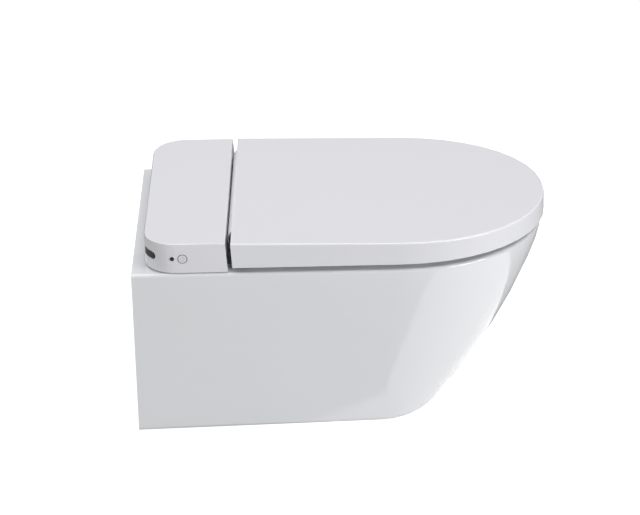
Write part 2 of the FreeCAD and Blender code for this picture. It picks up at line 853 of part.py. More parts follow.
def bracket_screws():
    screws = []
    for distance in (90, 104):
        neck = Vector((knuckle_inner + bracket_side) / 2, -distance, tray_top + 4)
        screw = post(neck - Vector(0, 0, 4), neck, 2.0, 6).fuse(post(neck, neck + Vector(0, 0, 3), 3.6, 8))
        screws += both_sides(screw)
    return Part.makeCompound(screws)


def hinge_pins():
    y, z = -hinge_distance, hinge_level
    inner = knuckle_inner - 19
    outer = lid_half - lid_wall - 0.8
    pin = rod(Vector(inner, y, z), Vector(outer, y, z), hinge_pin_radius)
    return Part.makeCompound(both_sides(pin))


def nozzle_frame(along, up):
    """A point on the nozzle's own line: distance back from the exit, and height off the arm axis."""
    tilt = math.radians(nozzle_tilt)
    y = -nozzle_exit_distance + along * math.cos(tilt) - up * math.sin(tilt)
    z = -nozzle_exit_depth + along * math.sin(tilt) + up * math.cos(tilt)
    return (y, z)


def nozzle_block(x0, x1, along0, along1, up0, up1):
    corners = [(along0, up0), (along1, up0), (along1, up1), (along0, up1)]
    return side_profile([nozzle_frame(a, u) for a, u in corners], x0, x1)


def nozzle_guide():
    half_x = arm_width / 2 + fit_gap
    half_z = arm_height / 2 + fit_gap
    w = guide_wall
    guide = nozzle_block(-half_x - w, half_x + w, 1.5, 1.5 + guide_length, -half_z - w, half_z + w)
    guide = guide.cut(nozzle_block(-half_x, half_x, -5, guide_length + 10, -half_z, half_z))
    reach = pitch_radius + 2.5
    guide = guide.cut(nozzle_block(-pinion_width / 2 - 1, pinion_width / 2 + 1, pinion_place - reach,
                                   pinion_place + reach, 0, 20))
    spigot_y, spigot_z = nozzle_frame(*spigot_place)
    spigot = post(Vector(half_x + w, spigot_y, spigot_z), Vector(half_x + w + 5, spigot_y, spigot_z), 2.5)
    return guide.fuse(spigot).removeSplitter()


def rack_teeth():
    """Straight-sided teeth along the top of the arm, one gap under the pinion at rest."""
    pitch = math.pi * rack_module
    line = arm_height / 2 - rack_module
    slope = math.tan(math.radians(20))
    half = pitch / 4 - backlash / 2
    teeth = []
    count = int((arm_length - pinion_place) / pitch) - 1
    for number in range(-3, count):
        middle = pinion_place + pitch * (number + 0.5)
        root, crest = half + slope * rack_module * 1.25, half - slope * rack_module
        low, high = line - rack_module * 1.25, line + rack_module
        corners = [(middle - root, low), (middle + root, low), (middle + crest, high), (middle - crest, high)]
        teeth.append(side_profile([nozzle_frame(a, u) for a, u in corners],
                                  -pinion_width / 2, pinion_width / 2))
    return teeth


def nozzle_arm():
    half = arm_width / 2
    arm = nozzle_block(-half, half, tip_length + 1, arm_length, -arm_height / 2, arm_height / 2)
    root = arm_height / 2 - rack_module * 2.25
    groove = nozzle_block(-pinion_width / 2 - 0.5, pinion_width / 2 + 0.5,
                          pinion_place - pitch_radius * 2, arm_length + 1, root, arm_height)
    arm = arm.cut(groove)
    water = nozzle_block(-2, 2, -1, arm_length + 5, -4.5, -0.5)
    arm = arm.cut(water)
    teeth = rack_teeth()
    return arm.multiFuse(teeth)


def nozzle_tip():
    half = arm_width / 2 - 0.4
    tip = nozzle_block(-half, half, 1, tip_length + 1, -arm_height / 2 + 0.4, arm_height / 2 - 0.4)
    for place, x in ((6, -2), (6, 2), (10, -2), (10, 2)):
        y, z = nozzle_frame(place, 0)
        y2, z2 = nozzle_frame(place, arm_height)
        tip = tip.cut(post(Vector(x, y, z), Vector(x, y2, z2), 0.8, 8))
    return tip


def nozzle_shield():
    half_x = arm_width / 2 + shield_overlap
    half_z = arm_height / 2 + shield_overlap - 1
    plate = nozzle_block(-half_x, half_x, 1 - shield_thickness, 1, -half_z, half_z)
    return plate


def pinion_centre():
    return nozzle_frame(pinion_place, arm_height / 2 - rack_module + pitch_radius)


def drive_pinion():
    """Involute teeth, thinned by the backlash."""
    y0, z0 = pinion_centre()
    base = pitch_radius * math.cos(math.radians(20))
    outer = pitch_radius + rack_module * 0.95
    root = pitch_radius - rack_module * 1.25

    def involute(radius):
        roll = math.sqrt(max((radius / base) ** 2 - 1, 0))
        return roll - math.atan(roll)

    half_angle = (math.pi * rack_module / 4 - backlash / 2) / pitch_radius + involute(pitch_radius)
    radii = [base + (outer - base) * share for share in (0, 0.5, 1.0)]
    flank = [(root, half_angle)] + [(radius, half_angle - involute(radius)) for radius in radii]
    points = []
    for tooth in range(pinion_teeth):
        middle = tooth_angle(tooth)
        for radius, angle in flank:
            points.append((radius, middle - angle))
        for radius, angle in reversed(flank):
            points.append((radius, middle + angle))
    corners = [(y0 + radius * math.cos(angle), z0 + radius * math.sin(angle)) for radius, angle in points]
    gear = side_profile(corners, -pinion_width / 2 + 0.5, pinion_width / 2 - 0.5)
    hub = post(Vector(0, y0, z0), Vector(pinion_width / 2 + 0.5, y0, z0), 3.4)
    bore = rod(Vector(-9, y0, z0), Vector(9, y0, z0), motor_shaft_radius + 0.05)
    return gear.fuse(hub).cut(bore).removeSplitter()


def tooth_angle(number):
    """Teeth are counted from the one that points straight at the rack."""
    tilt = math.radians(nozzle_tilt)
    towards_rack = math.atan2(-math.cos(tilt), math.sin(tilt))
    return towards_rack + 2 * math.pi * number / pinion_teeth


def drive_motor():
    y0, z0 = pinion_centre()
    face = motor_face
    body = post(Vector(face, y0, z0), Vector(face + motor_length, y0, z0), motor_radius, 12)
    shaft = rod(Vector(-pinion_width / 2, y0, z0), Vector(face, y0, z0), motor_shaft_radius)
    return body.fuse(shaft)


def flow_heater():
    tank = box(-112, -20, -62, -118, tray_top + 3, 34)
    tank = tank.makeChamfer(2, tank.Edges)
    for x in (-92, -66, -40):
        tank = tank.fuse(box(x - 2, x + 2, -64, -116, 33, 36))
    inlet = post(Vector(-34, -63, 26), Vector(-34, -58, 26), 2.5)
    outlet = post(Vector(-21, -97, 24), Vector(-16, -97, 24), 2.5)
    feet = [box(x - 4, x + 4, -60, -64, tray_top, tray_top + 12) for x in (-104, -60)]
    return tank.fuse(inlet).fuse(outlet).multiFuse(feet)


def inlet_valve():
    body = box(38, 64, -30, -60, tray_top, 26)
    body = body.makeChamfer(2, body.Edges)
    coil = post(Vector(51, -45, 25), Vector(51, -45, 39), 9, 16)
    port = post(Vector(38, -44, 20), Vector(32, -44, 20), 2.5)
    return body.fuse(coil).fuse(port)


def water_inlet():
    top = Vector(*inlet_place, tray_top)
    seat = top - Vector(0, 0, 5)
    stem = rod(top - Vector(0, 0, inlet_stem), seat, inlet_radius).fuse(post(seat, top, inlet_radius, 12))
    collar = post(seat, top - Vector(0, 0, tray_floor), fitting_collar, 6)
    bore = post(top - Vector(0, 0, inlet_stem + 1), top - Vector(0, 0, 6), 5.5, 8)
    return stem.fuse(collar).cut(bore)


def power_gland():
    top = Vector(*gland_place, tray_top)
    stem = post(top - Vector(0, 0, gland_stem), top + Vector(0, 0, 2), gland_radius, 12)
    collar = post(top - Vector(0, 0, 7), top - Vector(0, 0, tray_floor), fitting_collar, 6)
    nut = post(top, top + Vector(0, 0, 3), fitting_collar, 6)
    bore = rod(top - Vector(0, 0, gland_stem + 2), top + Vector(0, 0, 5), gland_bore)
    return stem.fuse(collar).fuse(nut).cut(bore)


def pump():
    motor = post(Vector(58, -97, 21), Vector(90, -97, 21), 12, 16)
    head = box(40, 58, -84, -110, tray_top + 3, 34)
    head = head.makeChamfer(2, head.Edges)
    inlet = post(Vector(34, -97, 24), Vector(40, -97, 24), 2.5)
    outlet = post(Vector(34, -88, 14), Vector(40, -88, 14), 2.5)
    return motor.fuse(head).fuse(inlet).fuse(outlet)


def supply_hose():
    route = [Vector(32, -44, 20), Vector(22, -44, 20), Vector(14, -44, 36.5), Vector(-20, -44, 36.5),
             Vector(-34, -47, 26), Vector(-34, -58, 26)]
    return tube(route, 6.0, hose_radius, 2, hidden_sides)


def pump_hose():
    return post(Vector(-16, -97, 24), Vector(34, -97, 24), hose_radius)


def nozzle_hose():
    y, z = nozzle_frame(*spigot_place)
    side = arm_width / 2 + fit_gap + guide_wall + 5
    route = [Vector(34, -88, 14), Vector(26, -88, 14), Vector(22, y, z), Vector(side, y, z)]
    return tube(route, 3.5, hose_radius, 2, hidden_sides)


def control_board():
    board = box(-174, -120, -50, -82, 26, 27.6)
    for x, distance in ((-170, 54), (-124, 54), (-124, 78), (-140, 78)):
        board = board.cut(post(Vector(x, -distance, 25), Vector(x, -distance, 29), 1.3))
    return board


def board_parts():
    parts = [
        box(-150, -132, -56, -72, 27.6, 38),
        box(-130, -121, -58, -70, 27.6, 34),
        post(Vector(-158, -60, 27.6), Vector(-158, -60, 38), 4),
        post(Vector(-158, -70, 27.6), Vector(-158, -70, 38), 4),
        box(-171.5, -165.5, -button_distance - 3, -button_distance + 3, 19, 26),
        box(-174, -169, -led_distance - 3, -led_distance + 3, 20, 26),
    ]
    return Part.makeCompound(parts)


def board_posts():
    posts = []
    for x, distance in ((-124, 54), (-124, 78)):
        pillar = post(Vector(x, -distance, tray_top), Vector(x, -distance, 26), 3)
        pin = post(Vector(x, -distance, 26), Vector(x, -distance, 28.5), 1.1)
        posts.append(pillar.fuse(pin))
    return Part.makeCompound(posts)


def button_bezel():
    x = -housing_half
    start, end = Vector(x - 0.3, -button_distance, button_level), Vector(x + 4, -button_distance, button_level)
    outer = post(start, end, button_hole_radius - 0.05, round_sides)
    hole = post(start - Vector(1, 0, 0), end + Vector(1, 0, 0), button_hole_radius - bezel_width, round_sides)
    return outer.cut(hole)


def power_button():
    x = -housing_half
    y, z = -button_distance, button_level
    face, rear = Vector(x + 0.1, y, z), Vector(x + 7, y, z)
    cap = post(face, rear, button_radius, round_sides)
    cap = cap.fuse(taper(face - Vector(0.4, 0, 0), face, button_radius - 0.4, button_radius, round_sides))
    stem = post(Vector(x + 7, y, z), Vector(-172.6, y, z), 2)
    return cap.fuse(stem)


def status_led():
    x = -housing_half
    y, z = -led_distance, button_level
    return post(Vector(x, y, z), Vector(x + 6, y, z), led_radius, 16)


def ir_window():
    return cover_shell().common(window_prism(0))


def release_button():
    cap = release_prism(-fit_gap, housing_half - 7, housing_half + 0.4)
    return cap


def latch_bar():
    outer = housing_half - 7
    bar = box(112, outer, -release_distance - 3, -release_distance + 3, release_level - 2,
              release_level + 2)
    tab = box(112, 115, -release_distance - 3, -release_distance + 3, tray_top + 4, release_level)
    return bar.fuse(tab).removeSplitter()


def seat_outline(inset, z):
    return nose_plan(seat_half - inset, seat_half - inset, seat_straight, seat_tip - inset,
                     seat_back + inset, z, nose_chords)


def seat_hole(grow, z):
    return oval_plan(seat_hole_half_width + grow, seat_hole_front + grow, seat_hole_rear - grow, z, hole_chords)


def seat_ring(inset, low, high):
    outer = plan_face(seat_outline(inset, low)).extrude(Vector(0, 0, high - low))
    hole = plan_face(seat_hole(inset, low)).extrude(Vector(0, 0, high - low))
    return outer.cut(hole)


def rounded_ring():
    """The seat's upper form, its outer and inner top edges rounded."""
    low, top, r = seat_underside + seat_base_thickness, seat_top_level, seat_round
    outer = skin(
        ([seat_outline(0, low), seat_outline(0, top - r)], 1),
        ([seat_outline(0, top - r), seat_outline(0, top), seat_outline(r, top)], round_strips),
    )
    hole = skin(
        ([seat_hole(0, low - 1), seat_hole(0, top - r)], 1),
        ([seat_hole(0, top - r), seat_hole(0, top), seat_hole(r, top)], round_strips),
        ([seat_hole(r, top), seat_hole(r, top + 1)], 1),
    )
    return outer.cut(hole)


def seat_knuckle():
    y, z = -hinge_distance, hinge_level
    outer = knuckle_inner - 0.4
    inner = outer - seat_knuckle_width
    r = seat_knuckle_radius
    arm = side_profile([(y - 1, z + r - 0.1), (y - 15, seat_top_level - 1), (y - 15, seat_underside + 6),
                        (y - 5, z - r), (y + 2, z - r + 0.5)], inner, outer)
    knuckle = post(Vector(inner, y, z), Vector(outer, y, z), r, 16)
    return arm.fuse(knuckle), inner, outer


def seat_top():
    seat = rounded_ring()
    seat = seat.cut(seat_ring(seat_wall, seat_underside, seat_top_level - seat_wall))
    arm, inner, outer = seat_knuckle()
    y, z = -hinge_distance, hinge_level
    damper_end = outer - 19.5
    for piece in both_sides(arm):
        seat = seat.fuse(piece)
    bores = [
        post(Vector(inner - 1, y, z), Vector(damper_end, y, z), damper_radius + 0.1, 16),
        rod(Vector(damper_end - 1, y, z), Vector(outer + 1, y, z), hinge_pin_radius + hinge_running_gap),
    ]
    for bore in bores:
        for piece in both_sides(bore):
            seat = seat.cut(piece)
    return seat.removeSplitter()


def hinge_dampers():
    y, z = -hinge_distance, hinge_level
    end = knuckle_inner - 0.4 - 19.5
    barrel = post(Vector(end - damper_length, y, z), Vector(end, y, z), damper_radius, 16)
    return Part.makeCompound(both_sides(barrel))


def seat_base():
    return seat_ring(0.8, seat_underside, seat_underside + seat_base_thickness)


def heating_foil():
    ceiling_level = seat_top_level - seat_wall
    return seat_ring(foil_inset, ceiling_level - foil_thickness, ceiling_level)


def buffer_places():
    rear = (150.0 - 185.8 + lid_half, 250.0)
    front = (100.0 - 185.8 + lid_half, overall_length - 72)
    return (rear, front)


def seat_buffers():
    pads = []
    for x, distance in buffer_places():
        foot = Vector(x, -distance, fit_gap)
        pads += both_sides(taper(foot, Vector(x, -distance, seat_underside), buffer_radius - 1, buffer_radius, 12))
    return Part.makeCompound(pads)


def lid_top_at(distance):
    share = (distance - lid_rear_top) / (overall_length - lid_rear_top)
    return lid_top_rear - lid_slope_drop * share


def lid_plan(inset, below_top, rear):
    return nose_plan(lid_half - inset, lid_half - inset, lid_straight, overall_length - inset, rear,
                     lambda distance: lid_top_at(distance) - below_top, nose_chords)


def lid_foot_plan(inset, level, rear):
    return nose_plan(lid_half - inset, lid_half - inset, lid_straight, overall_length - inset, rear, level,
                     nose_chords)


def lid_form():
    """Outer form of the lid: leaning rear edge, sloping top, rounded top edge."""
    r = lid_round
    upper = lid_plan(0, r, lid_rear_top)
    return skin(
        ([lid_foot_plan(0, lid_foot, lid_rear_foot), upper], 1),
        ([upper, lid_plan(0, 0, lid_rear_top), lid_plan(r, 0, lid_rear_top + r)], round_strips),
    )


def lid_room(inset, below_top, low, rear):
    """Straight-sided room under the lid, up to a plane below its top."""
    return skin(([lid_foot_plan(inset, low, rear), lid_plan(inset, below_top, rear)], 1))


def lid_shell():
    shell = lid_form()
    shell = shell.cut(lid_room(lid_wall, lid_top_thickness, lid_foot - 5, lid_rear_foot + lid_wall))
    side_room = lid_half - lid_wall
    rear_cut = box(-side_room, side_room, -lid_rear_top + 10, -lid_rear_foot - 10, lid_foot - 5,
                   lid_rear_wall_foot)
    shell = shell.cut(rear_cut)
    y, z = -hinge_distance, hinge_level
    lug_inner = bracket_side + 0.6
    notch_inner = knuckle_inner - 0.4 - seat_knuckle_width - 1
    under = lid_top_rear - lid_top_thickness - 0.3
    for side in (-1, 1):
        shell = shell.cut(box(side * notch_inner, side * lug_inner, -lid_rear_top + 10, y, 0, under))
        lug = rod(Vector(side * lug_inner, y, z), Vector(side * side_room, y, z), lid_lug_radius)
        neck = box(side * lug_inner, side * side_room, y - 6, y + 5, z, under + 0.5)
        bore = rod(Vector(side * (lug_inner - 1), y, z), Vector(side * (side_room - 0.5), y, z),
                   hinge_pin_radius + hinge_running_gap)
        shell = shell.fuse(lug.fuse(neck)).cut(bore)
    return shell.removeSplitter()


def lid_panel():
    low = lid_top_thickness + lid_panel_thickness
    inset = lid_wall + 0.3
    return skin(([lid_plan(inset, low, lid_panel_rear), lid_plan(inset, lid_top_thickness, lid_panel_rear)], 1))


def lid_buffers():
    pads = []
    for x, distance in buffer_places():
        foot = Vector(x, -distance, seat_top_level + fit_gap)
        pad = post(foot, foot + Vector(0, 0, 30), 8, 12)
        below = lid_room(0, lid_top_thickness + lid_panel_thickness, lid_foot, lid_rear_top)
        pads += both_sides(pad.common(below))
    return Part.makeCompound(pads)


nodes = {
    "pan": ceramic_pan,
    "pan_bowl": pan_bowl,
    "trapway": trapway,
    "flush_inlet": flush_inlet,
    "wall_fixing_barrels": wall_fixing_barrels,
    "clamp_screws": clamp_screws,
    "mounting_plate": mounting_plate,
    "plate_bolts": plate_bolts,
    "plate_bushes": plate_bushes,
    "base_tray": base_tray,
    "tray_pads": tray_pads,
    "top_cover": top_cover,
    "cover_screws": cover_screws,
    "hinge_bracket_right": hinge_bracket,
    "hinge_bracket_left": lambda: mirrored(hinge_bracket()),
    "bracket_screws": bracket_screws,
    "hinge_pins": hinge_pins,
    "nozzle_guide": nozzle_guide,
    "nozzle_arm": nozzle_arm,
    "nozzle_tip": nozzle_tip,
    "nozzle_shield": nozzle_shield,
    "drive_pinion": drive_pinion,
    "drive_motor": drive_motor,
    "flow_heater": flow_heater,
    "inlet_valve": inlet_valve,
    "water_inlet": water_inlet,
    "power_gland": power_gland,
    "pump": pump,
    "supply_hose": supply_hose,
    "pump_hose": pump_hose,
    "nozzle_hose": nozzle_hose,
    "control_board": control_board,
    "board_parts": board_parts,
    "board_posts": board_posts,
    "button_bezel": button_bezel,
    "power_button": power_button,
    "status_led": status_led,
    "ir_window": ir_window,
    "release_button": release_button,
    "latch_bar": latch_bar,
    "seat_top": seat_top,
    "seat_base": seat_base,
    "heating_foil": heating_foil,
    "hinge_dampers": hinge_dampers,
    "seat_buffers": seat_buffers,
    "lid_shell": lid_shell,
    "lid_panel": lid_panel,
    "lid_buffers": lid_buffers,
}

os.makedirs("parts", exist_ok=True)
for name, make in nodes.items():
    shape = make()
    shape.translate(Vector(0, 0, rim_height))
    print(name, "solids", len(shape.Solids), "valid", shape.isValid(), "volume", round(shape.Volume / 1000, 2), "cm3")
    shape.exportStep("parts/" + name + ".step")
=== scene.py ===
import json
import math

import bmesh
import bpy
from mathutils import Matrix, Vector


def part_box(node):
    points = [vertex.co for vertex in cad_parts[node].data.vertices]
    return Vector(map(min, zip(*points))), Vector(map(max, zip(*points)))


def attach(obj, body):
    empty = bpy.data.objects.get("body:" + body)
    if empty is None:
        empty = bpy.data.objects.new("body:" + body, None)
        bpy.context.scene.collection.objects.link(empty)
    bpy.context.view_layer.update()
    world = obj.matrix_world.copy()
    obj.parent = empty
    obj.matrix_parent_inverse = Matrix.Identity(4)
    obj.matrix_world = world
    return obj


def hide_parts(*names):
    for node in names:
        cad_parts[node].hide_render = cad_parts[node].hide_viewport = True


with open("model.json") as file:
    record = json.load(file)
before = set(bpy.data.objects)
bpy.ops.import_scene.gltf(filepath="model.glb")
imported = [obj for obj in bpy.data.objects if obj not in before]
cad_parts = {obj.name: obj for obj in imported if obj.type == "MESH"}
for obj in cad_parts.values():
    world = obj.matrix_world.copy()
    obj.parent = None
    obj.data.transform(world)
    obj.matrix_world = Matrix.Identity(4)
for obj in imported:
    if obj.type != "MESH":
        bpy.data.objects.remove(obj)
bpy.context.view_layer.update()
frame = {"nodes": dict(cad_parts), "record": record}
mm = 0.001

# studio

camera = {
    "place": (-5.2232, -0.3797, 2.4213),
    "yaw": 1.35,          # degrees towards the wall from the X axis
    "pitch": -24.72,
    "roll": -1.79,
    "focalPixels": 4043.3,
    "imageWidth": 640,
    "sensor": 36.0,
    "farClip": 50,
}

floor = {"level": -0.33, "size": 14.0, "colour": "#b4b4b4", "roughness": 0.9, "cameraGlow": 0.85}

lamps = {
    # name: place, aim, size, power, colour
    "keyPanel": ((-2.4, -3.3, 0.8), (0, -0.4, 0), (2.0, 1.4), 92, "#fdfdff"),
    "topPanel": ((0.0, -0.3, 3.2), (0, -0.3, 0), (2.6, 2.6), 74, "#fcfbff"),
    "wallPanel": ((-1.3, 2.9, 0.7), (-0.1, -0.1, 0), (1.6, 1.2), 20, "#ffffff"),
    "sidePanel": ((-3.6, 1.3, 0.9), (-0.1, -0.1, 0), (1.0, 1.0), 9, "#ffffff"),
    "farPanel": ((2.6, 1.2, 2.2), (0.1, -0.2, 0), (1.4, 1.4), 18, "#ffffff"),
}

# a low panel lying in front of the nose: the glaze mirrors its edge as a slanting line
mirrorPanel = {"place": (-0.2485, -0.7467, -0.31), "turn": 58, "size": (0.95, 0.78), "power": 2.15}

sky = {"colour": "#ffffff", "strength": 0.14}


def placeCamera(size):
    yaw, pitch, roll = (math.radians(size[name]) for name in ("yaw", "pitch", "roll"))
    forward = Vector((math.cos(pitch) * math.cos(yaw), math.cos(pitch) * math.sin(yaw), math.sin(pitch)))
    level = forward.cross(Vector((0, 0, 1))).normalized()
    upright = level.cross(forward)
    right = level * math.cos(roll) + upright * math.sin(roll)
    up = upright * math.cos(roll) - level * math.sin(roll)
    data = bpy.data.cameras.new("studioCamera")
    data.sensor_width = size["sensor"]
    data.lens = size["focalPixels"] / size["imageWidth"] * size["sensor"]
    data.clip_end = size["farClip"]
    view = bpy.data.objects.new("studioCamera", data)
    turn = Matrix((right, up, -forward)).transposed().to_4x4()
    view.matrix_world = Matrix.Translation(Vector(size["place"])) @ turn
    bpy.context.scene.collection.objects.link(view)
    bpy.context.scene.camera = view


def linearColour(hexText):
    parts = [int(hexText[start:start + 2], 16) / 255 for start in (1, 3, 5)]
    return [part / 12.92 if part <= 0.04045 else ((part + 0.055) / 1.055) ** 2.4 for part in parts] + [1.0]


def addNode(tree, kind, settings=None, links=None):
    node = tree.nodes.new(kind)
    for key, value in (settings or {}).items():
        if isinstance(key, int) or key in node.inputs:
            node.inputs[key].default_value = value
        else:
            setattr(node, key, value)
    for key, source in (links or {}).items():
        tree.links.new(source, node.inputs[key])
    return node


def areaLamp(name, place, size, power):
    data = bpy.data.lights.new(name, "AREA")
    data.shape = "RECTANGLE"
    data.size, data.size_y = size
    data.energy = power
    lamp = bpy.data.objects.new(name, data)
    lamp.location = place
    bpy.context.scene.collection.objects.link(lamp)
    return lamp


def placeLamp(name, place, aim, size, power, colour):
    lamp = areaLamp(name, place, size, power)
    lamp.data.color = linearColour(colour)[:3]
    lamp.rotation_euler = (Vector(aim) - Vector(place)).to_track_quat("-Z", "Y").to_euler()


def layPanel(name, look):
    panel = areaLamp(name, look["place"], look["size"], look["power"])
    panel.rotation_euler = (math.pi, 0, math.radians(look["turn"]))
    panel.visible_camera = False
    panel.visible_diffuse = False


def seenDirectly(tree):
    path = addNode(tree, "ShaderNodeLightPath")
    return addNode(tree, "ShaderNodeMath", {"operation": "MAXIMUM"},
                   {0: path.outputs["Is Camera Ray"], 1: path.outputs["Is Transmission Ray"]}).outputs[0]


def paintSky(look):
    world = bpy.data.worlds.new("studioSky")
    bpy.context.scene.world = world
    world.use_nodes = True
    tree = world.node_tree
    tree.nodes.clear()
    strength = addNode(tree, "ShaderNodeMix", {"A": look["strength"], "B": 1.0},
                       {"Factor": seenDirectly(tree)})
    background = addNode(tree, "ShaderNodeBackground", {"Color": linearColour(look["colour"])},
                         {"Strength": strength.outputs[0]})
    addNode(tree, "ShaderNodeOutputWorld", links={"Surface": background.outputs[0]})


def startMaterial(name):
    material = bpy.data.materials.new(name)
    material.use_nodes = True
    material.node_tree.nodes.clear()
    return material, material.node_tree


def layFloor(look):
    shape = bmesh.new()
    bmesh.ops.create_grid(shape, x_segments=1, y_segments=1, size=look["size"])
    bmesh.ops.translate(shape, verts=shape.verts, vec=(0, 0, look["level"]))
    mesh = bpy.data.meshes.new("studioFloor")
    shape.to_mesh(mesh)
    shape.free()
    sheet = bpy.data.objects.new("studioFloor", mesh)
    bpy.context.scene.collection.objects.link(sheet)
    material, tree = startMaterial("paleFloorPaint")
    glow = addNode(tree, "ShaderNodeMath", {"operation": "MULTIPLY", 1: look["cameraGlow"]},
                   {0: seenDirectly(tree)})
    paint = addNode(tree, "ShaderNodeBsdfPrincipled",
                    {"Base Color": linearColour(look["colour"]), "Roughness": look["roughness"],
                     "Specular IOR Level": 0.0, "Emission Color": (1, 1, 1, 1)},
                    {"Emission Strength": glow.outputs[0]})
    addNode(tree, "ShaderNodeOutputMaterial", links={"Surface": paint.outputs[0]})
    mesh.materials.append(material)


placeCamera(camera)
for name, lamp in lamps.items():
    placeLamp(name, *lamp)
layPanel("mirrorPanel", mirrorPanel)
paintSky(sky)
layFloor(floor)
bpy.context.scene.view_settings.view_transform = "Standard"
print("studio ready")


# materials

def makeFinish(name, look):
    material, tree = startMaterial(name)
    place = addNode(tree, "ShaderNodeTexCoord").outputs["Object"]
    mottle = {part: addNode(tree, "ShaderNodeTexNoise",
                            {"Scale": 1 / look[part + "Size"], "Detail": look[part + "Detail"]},
                            {"Vector": place}).outputs["Fac"]
              for part in ("drift", "grain", "wave")}
    # colour drifts by a hair over a hand's width, as it does in a big moulding or a glaze
    tone = addNode(tree, "ShaderNodeMix", {"data_type": "RGBA", 6: linearColour(look["colour"]),
                                           7: linearColour(look["deepColour"])}, {0: mottle["drift"]})
    rough = addNode(tree, "ShaderNodeMapRange", {3: look["roughness"] - look["roughSpread"],
                                                 4: look["roughness"] + look["roughSpread"]},
                    {0: mottle["grain"]})
    bumpWave = addNode(tree, "ShaderNodeBump", {"Strength": 1.0, "Distance": look["waveDepth"]},
                       {"Height": mottle["wave"]})
    bumpGrain = addNode(tree, "ShaderNodeBump", {"Strength": 1.0, "Distance": look["grainDepth"]},
                        {"Height": mottle["grain"], "Normal": bumpWave.outputs[0]})
    paint = addNode(tree, "ShaderNodeBsdfPrincipled",
                    {"IOR": look["ior"], "Metallic": look["metallic"], "Coat Weight": look["coat"],
                     "Coat Roughness": look["coatRoughness"]},
                    {"Base Color": tone.outputs[2], "Roughness": rough.outputs[0],
                     "Normal": bumpGrain.outputs[0]})
    addNode(tree, "ShaderNodeOutputMaterial", links={"Surface": paint.outputs[0]})
    return material


plain = {"driftSize": 0.15, "driftDetail": 2.0, "grainSize": 0.8 * mm, "grainDetail": 3.0,
         "grainDepth": 0.002 * mm, "waveSize": 0.02, "waveDetail": 1.0, "waveDepth": 0.01 * mm,
         "roughSpread": 0.03, "metallic": 0.0, "coat": 0.0, "coatRoughness": 0.05, "ior": 1.49}

metal = {"metallic": 1.0, "ior": 1.5}     # a metal keeps the shader's own index

finishes = {
    # vitreous china with a fired white glaze: deep gloss, a faint ripple in what it mirrors
    "glazedChina": {"colour": "#f0f1f2", "deepColour": "#edeff0", "roughness": 0.09, "roughSpread": 0.02,
                    "waveSize": 0.035, "waveDepth": 0.05 * mm, "grainSize": 1.5 * mm, "coat": 0.4,
                    "ior": 1.52},
    # injection-moulded white plastic, polished mould: clean mirror, a little softer than the glaze
    "mouldedGlossAbs": {"colour": "#efeff1", "deepColour": "#ecedef", "roughness": 0.2, "ior": 1.53},
    # compression-moulded seat: satin white that skin can slide on
    "pressedUrea": {"colour": "#eeeef0", "deepColour": "#ebebee", "roughness": 0.24, "ior": 1.5},
    # smoked window over the receiver and the lamp: nearly black, with a sharp mirror
    "mouldedSmokedPolycarbonate": {"colour": "#2c2a2b", "deepColour": "#262425", "roughness": 0.08,
                                   "ior": 1.58},
    # satin grey paint on the button's ring and mark: a thin quiet line
    "satinPaintedAbs": {"colour": "#a8a9ab", "deepColour": "#9fa0a2", "roughness": 0.3, "ior": 1.5},
    # glass-filled nylon of plate and fixings: matt pale grey with a fine tooth
    "mouldedGlassNylon": {"colour": "#cfd0d2", "deepColour": "#c6c7ca", "roughness": 0.5,
                          "grainSize": 0.5 * mm, "grainDepth": 0.01 * mm},
    # hinge-block nylon in painted shade: its dark grey paints the shade deep in the gap behind the lid
    "paintedShadeNylon": {"colour": "#3a3b3d", "deepColour": "#333436", "roughness": 0.45},
    # natural acetal of guide, pinion and valves: milky, warm, half matt
    "mouldedAcetal": {"colour": "#e4e2dc", "deepColour": "#dcdad3", "roughness": 0.38},
    # zinc-plated screws, pins and dampers: cool soft metal
    "zincPlatedSteel": {"colour": "#b9bbbc", "deepColour": "#adb0b2", "roughness": 0.3, **metal},
    # turned brass of the water inlet: warm bright metal
    "turnedBrass": {"colour": "#c8a457", "deepColour": "#b8934a", "roughness": 0.28, **metal},
    # moulded silicone of buffers and bushes: dull, slightly grey white
    "mouldedSilicone": {"colour": "#cfcfce", "deepColour": "#c6c6c5", "roughness": 0.6},
    # extruded silicone hose: smoother and lighter than the buffers
    "extrudedSilicone": {"colour": "#dedfdc", "deepColour": "#d3d4d0", "roughness": 0.42},
    # green solder mask of the control board
    "screenedSolderMask": {"colour": "#1f6b45", "deepColour": "#1b5f3d", "roughness": 0.35},
    # black phenolic of pump and board components
    "mouldedBlackPhenolic": {"colour": "#1d1d1f", "deepColour": "#232326", "roughness": 0.45},
    # etched metal foil of the seat heater
    "etchedFoil": {"colour": "#c9cbcd", "deepColour": "#bfc1c4", "roughness": 0.35, **metal},
}
materials = {name: makeFinish(name, {**plain, **look}) for name, look in finishes.items()}
print("materials ready", len(materials))


# pieces carried over from the frame

merging = {"distance": 0.002 * mm, "flatAngle": math.radians(0.3), "sharpAngle": 60, "bevelSegments": 2}


def mergedShape(node):
    shape = bmesh.new()
    shape.from_mesh(frame["nodes"][node].data)
    bmesh.ops.remove_doubles(shape, verts=shape.verts, dist=merging["distance"])
    return shape


def meshFrom(shape, name):
    mesh = bpy.data.meshes.new(name)
    shape.to_mesh(mesh)
    shape.free()
    return mesh


def smoothShape(shape, sharpAngle):
    for face in shape.faces:
        face.smooth = True
    for edge in shape.edges:
        edge.smooth = len(edge.link_faces) == 2 and edge.calc_face_angle() < sharpAngle


def addPiece(name, mesh, finish, body, nodes=()):
    piece = bpy.data.objects.new(name, mesh)
    bpy.context.scene.collection.objects.link(piece)
    mesh.materials.append(materials[finish])
    weighted = piece.modifiers.new("weightedNormals", "WEIGHTED_NORMAL")
    weighted.keep_sharp = True
    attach(piece, body)
    for node in nodes:
        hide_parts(node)
    return piece


